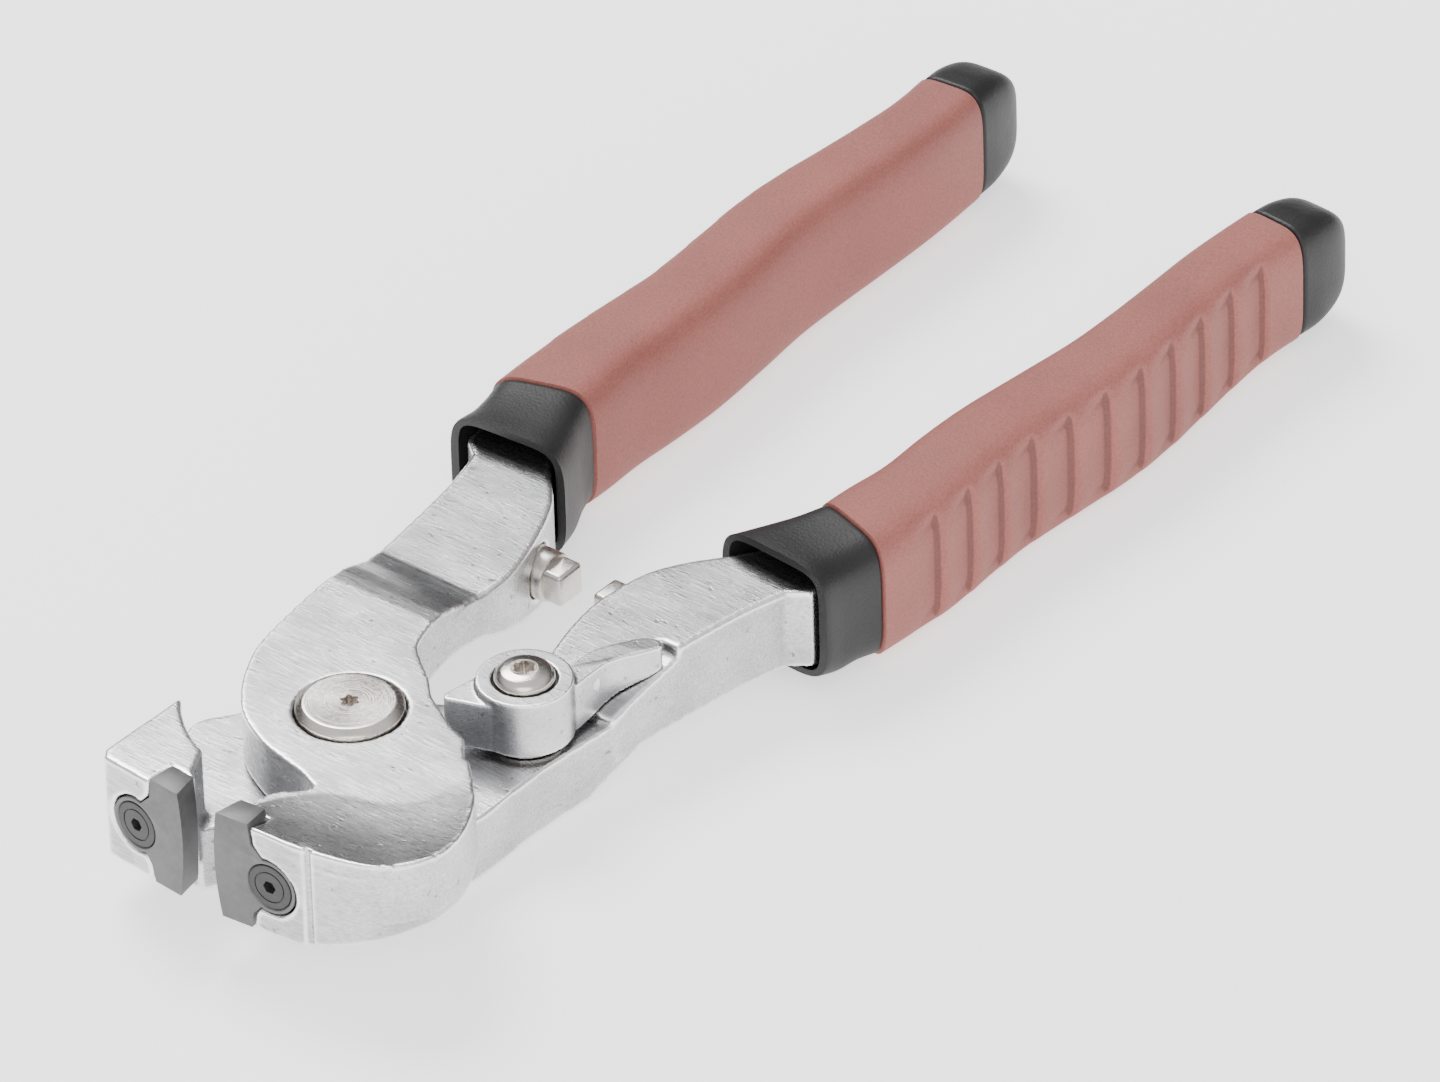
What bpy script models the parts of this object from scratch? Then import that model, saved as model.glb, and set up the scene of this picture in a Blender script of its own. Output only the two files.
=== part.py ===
"""Tile nippers with an aluminium body, carbide blades and soft grips.

The tool lies flat. The pivot axis is +Z through the origin, the jaws point to -Y, the
handles run to +Y, and z = 0 is the plane that the pivot nut and the grips rest on.
Left and right are named by the handle: the left handle drives the right-hand jaw.
"""
from math import cos, pi, radians, sin

import bmesh
import bpy
from mathutils import Matrix, Vector

# ---- driving dimensions, in millimetres ------------------------------------------------
MM = 0.001
GAP = 0.3                    # clearance that touching pieces keep

LAP_Z = 12.4                 # plane where the two hub halves meet
HUB_TOP, HUB_BOTTOM = 22.7, 1.0
ARM_TOP, ARM_BOTTOM = 19.4, 5.4
JAW_TOP, JAW_BOTTOM = 25.1, 6.6
SWING = 4.95                 # degrees that each jaw stands open at rest
HUB_RADIUS = 24.0            # lower hub disc
COVE_RADIUS = 25.5           # hollow in each jaw that clears the other half's hub

BOLT_HEAD_RADIUS, BOLT_HEAD_TOP = 8.45, HUB_TOP + 1.4
COUNTERBORE_RADIUS, COUNTERBORE_DEPTH = 8.75, 2.4
BOLT_RADIUS = 3.0
NUT_RADIUS, NUT_FLANGE_RADIUS, NUT_FLANGE = 5.0, 9.5, 1.8
BUSHING_RADIUS = 6.3
SPRING_RADIUS, SPRING_WIRE = 8.6, 1.6
SPRING_TURNS = 2.0

BLADE_HEIGHT, BLADE_THICKNESS = 19.2, 4.8
BLADE_FACE = 35.9            # distance of the blades' front faces from the pivot
BLADE_SCREW_X, BLADE_SCREW_Z = 10.1, 8.9      # from the cutting edge and blade's bottom
BLADE_LOBE = 4.7
BLADE_SCREW_HEAD, BLADE_SCREW_SHANK = 3.85, 2.0
BLADE_SCREW_LENGTH = 12.0

LATCH_X, LATCH_Y = 16.5, 21.6
LATCH_RADIUS, LATCH_TOP = 7.55, 23.1
LATCH_SCREW_HEAD, LATCH_SCREW_SHANK = 4.75, 2.5
LATCH_SLEEVE = 3.6

PEG_Y, PEG_RADIUS, PEG_SQUARE = 56.0, 4.1, 5.6
LEFT_PEG_END, RIGHT_PEG_END = 2.8, 3.6        # distances of the peg ends from the middle

GRIP_AXIS_Z = 12.3


# ---- mesh helpers ------------------------------------------------------------------------
def clear_scene():
    for old in list(bpy.data.objects):
        bpy.data.objects.remove(old, do_unlink=True)


def material(name, colour, roughness, metallic):
    mat = bpy.data.materials.get(name) or bpy.data.materials.new(name)
    mat.use_nodes = True
    shader = mat.node_tree.nodes["Principled BSDF"]
    shader.inputs["Base Color"].default_value = (*colour, 1.0)
    shader.inputs["Roughness"].default_value = roughness
    shader.inputs["Metallic"].default_value = metallic
    mat.diffuse_color = (*colour, 1.0)
    return mat


def make(name, verts, faces, mat=None, smooth_angle=35.0):
    """An object from points in millimetres, with its faces turned outwards."""
    mesh = bpy.data.meshes.new(name)
    mesh.from_pydata([tuple(c * MM for c in v) for v in verts], [], faces)
    bm = bmesh.new()
    bm.from_mesh(mesh)
    bmesh.ops.remove_doubles(bm, verts=bm.verts, dist=0.002 * MM)
    bmesh.ops.recalc_face_normals(bm, faces=bm.faces)
    bm.to_mesh(mesh)
    bm.free()
    mesh.shade_smooth()
    mesh.set_sharp_from_angle(angle=radians(smooth_angle))
    obj = bpy.data.objects.new(name, mesh)
    bpy.context.scene.collection.objects.link(obj)
    if mat:
        mesh.materials.append(mat)
    return obj


def loft(name, rings, mat=None, smooth_angle=35.0):
    """A closed body through rings that all have the same number of points."""
    count = len(rings[0])
    verts = [p for ring in rings for p in ring]
    faces = [list(range(count))[::-1], [(len(rings) - 1) * count + i for i in range(count)]]
    for r in range(len(rings) - 1):
        for i in range(count):
            j = (i + 1) % count
            faces.append((r * count + i, r * count + j, (r + 1) * count + j, (r + 1) * count + i))
    return make(name, verts, faces, mat, smooth_angle)


def prism(name, outline, z0, z1, mat=None):
    """An upright block with a flat outline."""
    return loft(name, [[(x, y, z0) for x, y in outline], [(x, y, z1) for x, y in outline]], mat)


def turned(name, profile, centre=(0.0, 0.0), sides=32, mat=None, phase=0.0):
    """A round piece about a vertical axis. A profile that leaves the axis makes a ring."""
    cx, cy = centre
    angles = [2 * pi * i / sides + phase for i in range(sides)]
    verts = [(cx + r * cos(a), cy + r * sin(a), z) for r, z in profile for a in angles]
    rings = len(profile)
    closed = profile[0][0] > 0.01
    faces = []
    for r in range(rings if closed else rings - 1):
        n = (r + 1) % rings
        for i in range(sides):
            j = (i + 1) % sides
            faces.append((r * sides + i, r * sides + j, n * sides + j, n * sides + i))
    return make(name, verts, faces, mat)


def rod(name, radius, z0, z1, centre=(0.0, 0.0), sides=32):
    cx, cy = centre
    outline = [(cx + radius * cos(2 * pi * i / sides), cy + radius * sin(2 * pi * i / sides))
               for i in range(sides)]
    return prism(name, outline, z0, z1)


def curve_through(points, steps=4, closed=True):
    """A smooth curve through points. A point with a third value True stays a corner."""
    count = len(points)
    out = []
    for i in range(count if closed else count - 1):
        p1, p2 = points[i], points[(i + 1) % count]
        before = points[i - 1] if closed or i else p1
        after = points[(i + 2) % count] if closed or i + 2 < count else p2
        p0 = p1 if len(p1) > 2 else before
        p3 = p2 if len(p2) > 2 else after
        straight = p0 is p1 and p3 is p2
        for k in range(1 if straight else steps):
            t = k / steps
            blend = (-0.5 * t + t * t - 0.5 * t ** 3, 1 - 2.5 * t * t + 1.5 * t ** 3,
                     0.5 * t + 2 * t * t - 1.5 * t ** 3, -0.5 * t * t + 0.5 * t ** 3)
            out.append(tuple(sum(b * p[a] for b, p in zip(blend, (p0, p1, p2, p3)))
                             for a in (0, 1)))
    if not closed:
        out.append(tuple(points[-1][:2]))
    return out


def arc(radius, start, end, steps, centre=(0.0, 0.0)):
    """Points on an arc, angles in degrees."""
    span = [radians(start + (end - start) * i / steps) for i in range(steps + 1)]
    return [(centre[0] + radius * cos(a), centre[1] + radius * sin(a)) for a in span]


def combine(target, tool, operation="DIFFERENCE"):
    """A Boolean with the exact solver. The tool stays as a hidden helper."""
    tool.hide_render = True
    tool.display_type = "WIRE"
    mod = target.modifiers.new(operation.title(), "BOOLEAN")
    mod.operation = operation
    mod.solver = "EXACT"
    mod.object = tool
    return target


# ---- the aluminium arms -------------------------------------------------------------------
# Half of each arm's plan, as on the +X side: edges from the hub to the end of the tang.
OUTER_EDGE = [(25.8, 32.0), (26.2, 38.0), (27.6, 49.0), (29.2, 59.0), (31.2, 66.6, True),
              (34.5, 69.2, True), (35.1, 73.6), (34.9, 77.0)]
LEFT_INNER_EDGE = [(24.6, 77.0), (22.0, 75.0), (18.4, 70.0), (12.9, 64.0), (8.7, 54.8), (5.9, 45.2),
                   (5.8, 37.0), (5.4, 32.0)]
RIGHT_INNER_EDGE = [(24.6, 77.0), (22.0, 75.0), (18.4, 70.0), (13.6, 64.0), (10.4, 57.6),
                    (9.2, 48.0), (10.2, 40.0), (12.1, 33.0)]


def bar_outline(side, inner_edge, front):
    """The arm between the hub and the end of its tang. front closes it at the hub."""
    outer = [(p[0] * side, *p[1:]) for p in OUTER_EDGE]
    inner = [(p[0] * side, *p[1:]) for p in inner_edge]
    outer[-1] += (True,)
    inner[0] += (True,)
    return curve_through(outer + inner + [(p[0] * side, p[1], True) for p in front])


def left_hub_outline():
    """Upper half-lap: the hub, the step that the latch meets, and the curved jaw arm."""
    back = [(-6.2, 37.2, True), (-25.9, 37.2, True), (-24.9, 28.0), (-24.4, 20.0), (-22.3, 5.6),
            (-19.4, -1.6), (-16.2, -6.6), (-11.6, -11.2), (-5.2, -14.5), (0.2, -15.9)]
    throat = [(4.6, -16.9), (8.5, -18.6, True), (7.4, -20.6), (5.1, -22.6), (3.9, -25.6),
              (3.7, -30.0, True)]
    front = [(3.6, -35.6, True), (20.0, -34.6)]
    horn = [(31.0, -31.4), (36.2, -24.6), (35.6, -17.0), (31.4, -8.6), (26.2, -2.4, True)]
    notch = [(23.2, 0.4, True), (22.0, 0.6, True), (18.9, 4.4, True), (15.4, 5.6, True)]
    neck = [(10.8, 8.2), (7.6, 10.2), (5.0, 12.8), (-1.2, 17.6), (-3.2, 20.8), (-4.8, 27.0)]
    return curve_through(back + throat + front + horn + notch + neck, 3)


def left_jaw_outline():
    """The lower part of the left handle's jaw, under the curved jaw arm."""
    throat = [(5.1, -22.6), (3.9, -25.6), (3.7, -30.0, True)]
    front = [(3.6, -35.6, True), (20.0, -34.6)]
    horn = [(31.0, -31.4), (36.2, -24.6), (35.6, -17.0, True)]
    return curve_through(throat + front + horn + [(20.0, -12.0, True), (9.0, -16.0, True)], 3)


def bowl_cutter():
    """Hollows the jaw arm: flat over the hub, then a dish that rises to the jaw's lip."""
    dish = [(30.0, HUB_TOP + 0.25), (34.0, HUB_TOP + 1.05), (37.5, HUB_TOP + 2.3),
            (42.0, HUB_TOP + 4.5)]
    profile = [(0.0, HUB_TOP), (23.5, HUB_TOP)] + dish + [(42.0, 40.0), (0.0, 40.0)]
    return turned("bowl_cutter", profile, sides=72, phase=0.02)


def wedge_cutter(name, points, depth):
    """A block with the outline (x, z), as deep as the two y values in depth."""
    return loft(name, [[(x, depth[0], z) for x, z in points], [(x, depth[1], z) for x, z in points]])


def side_cutter(name, points, width):
    """A block with the outline (y, z), as wide as the two x values in width."""
    return loft(name, [[(x, y, z) for y, z in points] for x in width])


def hub_bore(arm, upper):
    """The bushing's bore with half of the closed spring pocket, and the head's counterbore."""
    bore, pocket = BUSHING_RADIUS + 0.15, SPRING_RADIUS + 2.0
    recess = NUT_FLANGE_RADIUS + GAP
    if upper:
        head = HUB_TOP - COUNTERBORE_DEPTH
        profile = [(0.0, 40.0), (COUNTERBORE_RADIUS, 40.0), (COUNTERBORE_RADIUS, head), (bore, head),
                   (bore, LAP_Z + 2.6), (pocket, LAP_Z + 2.6), (pocket, LAP_Z - 4.0),
                   (0.0, LAP_Z - 4.0)]
    else:
        profile = [(0.0, LAP_Z + 4.0), (pocket, LAP_Z + 4.0), (pocket, LAP_Z - 2.6),
                   (bore, LAP_Z - 2.6), (bore, NUT_FLANGE + GAP), (recess, NUT_FLANGE + GAP),
                   (recess, -5.0), (0.0, -5.0)]
    combine(arm, turned(arm.name + "_bore", profile, sides=48))


def left_arm(mat):
    arm = prism("left_arm", left_hub_outline(), LAP_Z + 0.15, JAW_TOP, mat)
    combine(arm, bowl_cutter())
    outline = bar_outline(-1, LEFT_INNER_EDGE, [(5.2, 29.0), (24.8, 29.0)])
    bar = prism("left_bar", outline, ARM_BOTTOM, ARM_TOP)
    under = [(20.0, 0.0), (57.0, 0.0), (57.0, ARM_BOTTOM - 0.1), (50.0, ARM_BOTTOM + 1.8),
             (36.0, LAP_Z - 0.8), (31.0, LAP_Z + 0.05), (20.0, LAP_Z + 0.05)]
    combine(bar, side_cutter("left_under_cutter", under, (-40.0, 10.0)))
    combine(arm, bar, "UNION")
    jaw = prism("left_jaw", left_jaw_outline(), JAW_BOTTOM, LAP_Z + 3.0)
    combine(jaw, rod("left_cove", COVE_RADIUS, 0.0, LAP_Z + 0.15, sides=96))
    heel = [(17.0, JAW_BOTTOM - 4.0), (40.0, JAW_BOTTOM - 4.0), (40.0, LAP_Z + 1.6),
            (17.0, JAW_BOTTOM - 0.4)]
    combine(jaw, wedge_cutter("left_heel_cutter", heel, (-45.0, 0.0)))
    combine(arm, jaw, "UNION")
    ramp = [(27.0, HUB_TOP), (36.5, ARM_TOP), (40.0, ARM_TOP), (40.0, 30.0), (27.0, 30.0)]
    combine(arm, side_cutter("left_ramp_cutter", ramp, (-40.0, 10.0)))
    hub_bore(arm, True)
    return arm


def ledge_cutter():
    """Clears the outer side of the right arm, so that the latch's thumb fin can swing out."""
    rings = []
    for x, y in ((17.3, 25.0), (17.3, 30.0), (17.3, 34.0), (20.6, 41.0), (24.0, 45.6)):
        floor = LAP_Z + 0.6 + 4.6 * max(0.0, (y - 30.0) / 15.6)
        rings.append([(x, y, floor), (x, y, 30.0), (45.0, y, 30.0), (45.0, y, floor)])
    return loft("ledge_cutter", rings)


def right_arm(mat):
    """Lower half-lap with the latch's seat, the neck round the hub and the left-hand jaw."""
    right = [(24.4, 2.0), (24.1, 10.0), (24.2, 17.0), (24.9, 26.0), (26.2, 37.0, True)]
    inner = [(10.8, 37.0, True), (11.6, 32.0), (6.0, 24.0), (-2.0, 18.6), (-12.0, 14.4),
             (-19.2, 6.6), (-22.6, -0.4)]
    neck = [(-26.0, -5.8), (-24.6, -12.0), (-20.8, -17.6, True), (-20.4, -25.0, True),
            (-7.6, -27.4, True)]
    disc = [(p[0], p[1]) for p in arc(HUB_RADIUS, 258.0, 350.0, 9)]
    plate = curve_through(right + inner + neck + disc, 3)
    arm = prism("right_arm", plate, HUB_BOTTOM, LAP_Z - 0.15, mat)
    heel = [(23.6, -4.0), (23.6, 0.2), (38.3, ARM_BOTTOM + 0.5), (45.0, -4.0)]
    combine(arm, side_cutter("right_under_cutter", heel, (-3.0, 40.0)))
    outline = bar_outline(1, RIGHT_INNER_EDGE, [(12.6, 31.0), (25.4, 31.0)])
    bar = prism("right_bar", outline, ARM_BOTTOM, ARM_TOP)
    combine(bar, ledge_cutter())
    combine(arm, bar, "UNION")
    corner = [swing(-0.6, -1), swing(-16.4, -1), swing(-17.8, -1, 1.6)]
    block = corner + [(-20.4, -16.0), (-10.0, -16.0), (-9.0, -23.6), (-6.6, -28.6), (-3.9, -31.2)]
    jaw = prism("right_jaw", block, JAW_BOTTOM, JAW_TOP)
    combine(jaw, rod("right_cove", COVE_RADIUS, LAP_Z - 0.15, 40.0, sides=96))
    combine(arm, jaw, "UNION")
    hub_bore(arm, False)
    combine(arm, rod("latch_thread", LATCH_SCREW_SHANK + 0.3, 4.0, LAP_Z + 2.0,
                     (LATCH_X, LATCH_Y), 20))
    return arm


# ---- the blades and their screws ------------------------------------------------------------
def swing(x, side, depth=0.0):
    """A point on a blade's front face, given where it is with the jaws closed."""
    turn = radians(SWING) * -side
    y = -BLADE_FACE + depth
    return (x * cos(turn) + y * sin(turn), y * cos(turn) - x * sin(turn))


def blade_profile(grow=0.0):
    """Outline of a blade in its front face: (distance from the cutting edge, height)."""
    edge = []
    for i in range(7):
        h = BLADE_HEIGHT * i / 6
        edge.append((1.0 * ((h / BLADE_HEIGHT - 0.55) / 0.55) ** 2 - grow * 8, h - grow))
    edge[0] = (edge[0][0], -grow)
    edge[-1] = (edge[-1][0], BLADE_HEIGHT + grow)
    lobe = arc(BLADE_LOBE + grow, -112.0, 104.0, 12, (BLADE_SCREW_X, BLADE_SCREW_Z))
    neck = [(6.9 + grow, 15.6), (6.5 + grow, BLADE_HEIGHT + grow)]
    foot = [(6.5 + grow, -grow), (6.9 + grow, 2.8 - 0.6 * grow)]
    return edge[::-1] + foot + lobe + neck


def on_face(points, depth, side, lean=0.0):
    """Blade profile points at a depth behind the front face, in the tool's space."""
    out = []
    for s, h in points:
        s += lean * max(0.0, 1.0 - max(s, 0.0) / 4.0)
        x, y = swing(side * s, side, depth)
        out.append((x, y, JAW_BOTTOM + h))
    return out


def face_turned(name, profile, side, sides=24, mat=None):
    """A round piece about a blade screw's axis. The profile is (radius, depth)."""
    piece = turned(name, [(r, -d) for r, d in profile], sides=sides, mat=mat)
    x, y = swing(side * BLADE_SCREW_X, side)
    place = Matrix.Translation(Vector((x, y, JAW_BOTTOM + BLADE_SCREW_Z)) * MM)
    spin = Matrix.Rotation(radians(SWING) * side, 4, "Z") @ Matrix.Rotation(radians(90.0), 4, "X")
    piece.matrix_world = place @ spin
    return piece


def blade(name, side, mat):
    """side is +1 for the right-hand jaw's blade and -1 for the left-hand one."""
    shape = blade_profile()
    body = loft(name, [on_face(shape, 0.0, side), on_face(shape, BLADE_THICKNESS, side, 1.6)], mat)
    hole = [(0.0, -0.4), (BLADE_SCREW_HEAD + 0.55, -0.4), (BLADE_SCREW_HEAD + 0.3, 0.1),
            (BLADE_SCREW_SHANK + 0.3, 2.2), (BLADE_SCREW_SHANK + 0.3, 8.0), (0.0, 8.0)]
    return combine(body, face_turned(name + "_hole", hole, side))


def blade_screw(name, side, mat):
    socket = 1.15
    profile = [(0.0, 1.5), (socket, 1.3), (socket, 0.1), (BLADE_SCREW_HEAD - 0.2, 0.1),
               (BLADE_SCREW_HEAD, 0.25), (BLADE_SCREW_SHANK, 2.2),
               (BLADE_SCREW_SHANK, BLADE_SCREW_LENGTH), (0.0, BLADE_SCREW_LENGTH)]
    return face_turned(name, profile, side, 24, mat)


def blade_pocket(arm, side):
    shape = blade_profile(GAP)
    pocket = loft(arm.name + "_pocket_cutter",
                  [on_face(shape, -3.0, side), on_face(shape, BLADE_THICKNESS + GAP, side)])
    combine(arm, pocket)
    hole = [(0.0, 1.0), (BLADE_SCREW_SHANK + 0.3, 1.0),
            (BLADE_SCREW_SHANK + 0.3, BLADE_SCREW_LENGTH + 0.6), (0.0, BLADE_SCREW_LENGTH + 0.6)]
    combine(arm, face_turned(arm.name + "_screw_hole", hole, side, 16))


# ---- the pivot ------------------------------------------------------------------------------
def pivot_bolt(mat):
    head = [(0.0, BOLT_HEAD_TOP - 1.9), (2.2, BOLT_HEAD_TOP - 1.9), (2.2, BOLT_HEAD_TOP),
            (7.3, BOLT_HEAD_TOP), (BOLT_HEAD_RADIUS, HUB_TOP), (BOLT_HEAD_RADIUS, 20.6),
            (BOLT_RADIUS, 20.6), (BOLT_RADIUS, 6.4), (0.0, 6.4)]
    return turned("pivot_bolt", head, sides=40, mat=mat)


def pivot_nut(mat):
    """A barrel nut: the arms turn on its sleeve, and its flange carries the tool."""
    profile = [(0.0, 5.6), (BOLT_RADIUS + 0.3, 5.6), (BOLT_RADIUS + 0.3, 20.0), (NUT_RADIUS, 20.0),
               (NUT_RADIUS, NUT_FLANGE), (NUT_FLANGE_RADIUS, NUT_FLANGE), (NUT_FLANGE_RADIUS, 0.4),
               (NUT_FLANGE_RADIUS - 0.4, 0.0), (0.0, 0.0)]
    return turned("pivot_nut", profile, sides=40, mat=mat)


def pivot_bushing(mat):
    inner, outer = NUT_RADIUS + GAP, BUSHING_RADIUS - 0.15
    profile = [(inner, 20.0), (outer, 20.0), (outer, 2.1), (inner, 2.1)]
    return turned("pivot_bushing", profile, sides=32, mat=mat)


def torsion_spring(mat):
    """Two turns of round wire in the closed pocket between the hub halves."""
    steps, sides = 20, 6
    rings = []
    total = int(SPRING_TURNS * steps)
    for i in range(total + 1):
        a = 2 * pi * i / steps
        lift = LAP_Z - 1.1 + 2.2 * i / total
        ring = []
        for k in range(sides):
            b = 2 * pi * k / sides
            r = SPRING_RADIUS + 0.45 * SPRING_WIRE * cos(b)
            ring.append((r * cos(a), r * sin(a), lift + 0.45 * SPRING_WIRE * sin(b) * 0.62))
        rings.append(ring)
    return loft("torsion_spring", rings, mat, 80.0)


# ---- the latch ------------------------------------------------------------------------------
def latch_lever(mat):
    """A round boss with a wedge nose towards the hub and an upright thumb fin behind."""
    at = (LATCH_X, LATCH_Y)
    base = LAP_Z + 0.9
    lever = rod("latch_lever", LATCH_RADIUS, base, LATCH_TOP, at, 40)
    lever.data.materials.append(mat)
    nose = [(10.6, 23.6), (9.3, 19.0), (8.2, 12.4), (8.9, 11.4), (16.0, 13.9), (18.0, 17.0)]
    combine(lever, prism("latch_nose", nose, base + 0.01, LATCH_TOP - 1.3), "UNION")
    outer = [(23.0, 23.0), (22.6, 30.0), (23.0, 35.0), (25.6, 40.4), (26.2, 42.4)]
    inner = [(25.0, 43.6), (22.6, 42.6), (19.6, 37.2), (18.6, 33.4), (18.3, 23.0)]
    plan = curve_through([(*outer[0], True)] + outer[1:] + inner[:-1] + [(*inner[-1], True)], 3)
    low = [(x, y, base + 0.02 + 3.6 * max(0.0, (y - 29.0) / 13.6) ** 1.2) for x, y in plan]
    high = [(x, y, LATCH_TOP - 0.9 - 1.3 * max(0.0, (y - 28.0) / 15.0)) for x, y in plan]
    combine(lever, loft("latch_fin", [low, high]), "UNION")
    combine(lever, rod("latch_bore", LATCH_SLEEVE + 0.3, 0.0, 40.0, at, 24))
    combine(lever, rod("latch_seat", LATCH_SCREW_HEAD + 0.4, LATCH_TOP - 1.4, 40.0, at, 32))
    return lever


def latch_screw(mat):
    top = LATCH_TOP + 1.9
    under = LATCH_TOP - 1.1
    profile = [(0.0, top - 1.8), (1.7, top - 1.8), (1.7, top), (3.3, top),
               (LATCH_SCREW_HEAD - 0.5, top - 0.8), (LATCH_SCREW_HEAD, top - 1.7),
               (LATCH_SCREW_HEAD, under), (LATCH_SCREW_SHANK, under), (LATCH_SCREW_SHANK, 4.8),
               (0.0, 4.8)]
    return turned("latch_screw", profile, (LATCH_X, LATCH_Y), 32, mat)


def latch_sleeve(mat):
    inner = LATCH_SCREW_SHANK + GAP
    profile = [(inner, LATCH_TOP - 1.5), (LATCH_SLEEVE, LATCH_TOP - 1.5), (LATCH_SLEEVE, LAP_Z + 0.9),
               (inner, LAP_Z + 0.9)]
    return turned("latch_sleeve", profile, (LATCH_X, LATCH_Y), 24, mat)


def latch_washer(mat):
    profile = [(3.0, LAP_Z + 0.6), (6.4, LAP_Z + 0.6), (6.4, LAP_Z + 0.1), (3.0, LAP_Z + 0.1)]
    return turned("latch_washer", profile, (LATCH_X, LATCH_Y), 24, mat)


# ---- the stop pegs --------------------------------------------------------------------------
def along_x(obj, side):
    """Turns a piece built about +Z so that it points along +X or -X at the peg's place."""
    turn = Matrix.Rotation(radians(90.0) * side, 4, "Y")
    obj.matrix_world = Matrix.Translation(Vector((0.0, PEG_Y, GRIP_AXIS_Z)) * MM) @ turn
    return obj


def stop_peg(name, side, boss, end, mat):
    """A round boss with a square nose, and a shank set in the arm. Distances from the middle."""
    profile = [(0.0, boss), (PEG_RADIUS - 0.4, boss), (PEG_RADIUS, boss + 0.4), (PEG_RADIUS, 11.6),
               (2.2, 11.6), (2.2, 16.4), (0.0, 16.4)]
    peg = turned(name, profile[::-1], sides=24, mat=mat)
    half = PEG_SQUARE / 2
    square = [(half, half), (-half, half), (-half, -half), (half, -half)]
    chamfer = [(x * 0.86, y * 0.86) for x, y in square]
    nose = loft(name + "_nose", [[(x, y, end) for x, y in chamfer],
                                 [(x, y, end + 0.5) for x, y in square],
                                 [(x, y, boss + 1.0) for x, y in square]])
    combine(peg, nose, "UNION")
    along_x(nose, side)
    return along_x(peg, side)


def peg_seat(arm, side):
    seat = [(0.0, 2.0), (PEG_RADIUS + GAP, 2.0), (PEG_RADIUS + GAP, 11.9), (2.5, 11.9), (2.5, 16.9),
            (0.0, 16.9)]
    combine(arm, along_x(turned(arm.name + "_peg_seat", seat[::-1], sides=24), side))


# ---- the grips ------------------------------------------------------------------------------
# Stations along a grip: centre x and y, tilt in degrees, half width, half height, and how
# far the middle lies above the grip axis.
COLLAR_STATIONS = [(26.6, 69.4, 4.0, 11.0, 10.5, 1.2), (27.0, 70.6, 5.0, 10.8, 10.6, 1.0),
                   (28.0, 74.6, 10.0, 9.9, 10.9, 0.3), (29.4, 78.8, 14.0, 9.1, 10.8, 0.3),
                   (30.8, 83.0, 17.0, 8.7, 11.1, 0.2)]
SLEEVE_STATIONS = [(30.9, 83.3, 17.0, 9.0, 11.4, 0.1), (31.2, 90.0, 8.0, 8.7, 11.6, -0.1),
                   (31.7, 99.0, 1.0, 8.3, 11.8, -0.4), (31.3, 109.0, -1.0, 8.1, 11.9, -0.4),
                   (31.2, 119.0, 2.0, 7.9, 11.8, -0.5), (32.2, 131.0, 5.0, 7.9, 11.6, -0.6),
                   (33.3, 143.0, 3.0, 7.6, 11.7, -0.6), (33.3, 153.0, -2.0, 7.3, 11.7, -0.6),
                   (32.7, 164.0, -3.0, 7.0, 11.4, -0.5), (32.2, 174.0, 0.0, 6.8, 11.1, -0.3),
                   (32.2, 182.0, 3.0, 6.6, 10.9, -0.2), (32.7, 189.0, 5.0, 6.7, 10.8, -0.1)]
CAP_STATIONS = [(32.75, 189.5, 5.0, 6.5, 10.6, -0.1), (33.1, 194.0, 4.0, 6.6, 10.3, -0.2),
                (33.3, 198.4, 3.0, 6.1, 9.0, -0.2), (33.4, 201.2, 3.0, 4.9, 7.0, -0.2),
                (33.4, 202.6, 3.0, 3.0, 4.6, -0.2)]
SECTION_POINTS = 20
GRIP_POWER = 3.8
CORE_WIDE, CORE_HIGH = 4.9, 8.0
HOLLOW_WIDE, HOLLOW_HIGH = 5.2, 8.4


def section(station, side, shrink=0.0, power=GRIP_POWER):
    """One boxy superelliptic section across a grip."""
    cx, cy, tilt, wide, high, lift = station
    wide, high = wide - shrink, high - 0.75 * shrink
    ring = []
    for i in range(SECTION_POINTS):
        a = 2 * pi * i / SECTION_POINTS
        across = wide * abs(cos(a)) ** (2 / power) * (1 if cos(a) >= 0 else -1)
        up = high * abs(sin(a)) ** (2 / power) * (1 if sin(a) >= 0 else -1)
        x = cx + across * cos(radians(tilt))
        y = cy - across * sin(radians(tilt))
        ring.append((side * x, y, GRIP_AXIS_Z + lift + up))
    return ring


def resized(station, wide, high, lift=0.0):
    """A station with another half width and half height."""
    return (*station[:3], wide, high, lift)


def tube(name, outer, inner, mat):
    """A tube open at both ends, from outer and inner rings with equal numbers of points."""
    return loft_ring(name, outer + inner[::-1], mat)


def loft_ring(name, rings, mat):
    count = len(rings[0])
    verts = [p for ring in rings for p in ring]
    faces = []
    for r in range(len(rings)):
        n = (r + 1) % len(rings)
        for i in range(count):
            j = (i + 1) % count
            faces.append((r * count + i, r * count + j, n * count + j, n * count + i))
    return make(name, verts, faces, mat, 50.0)


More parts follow.
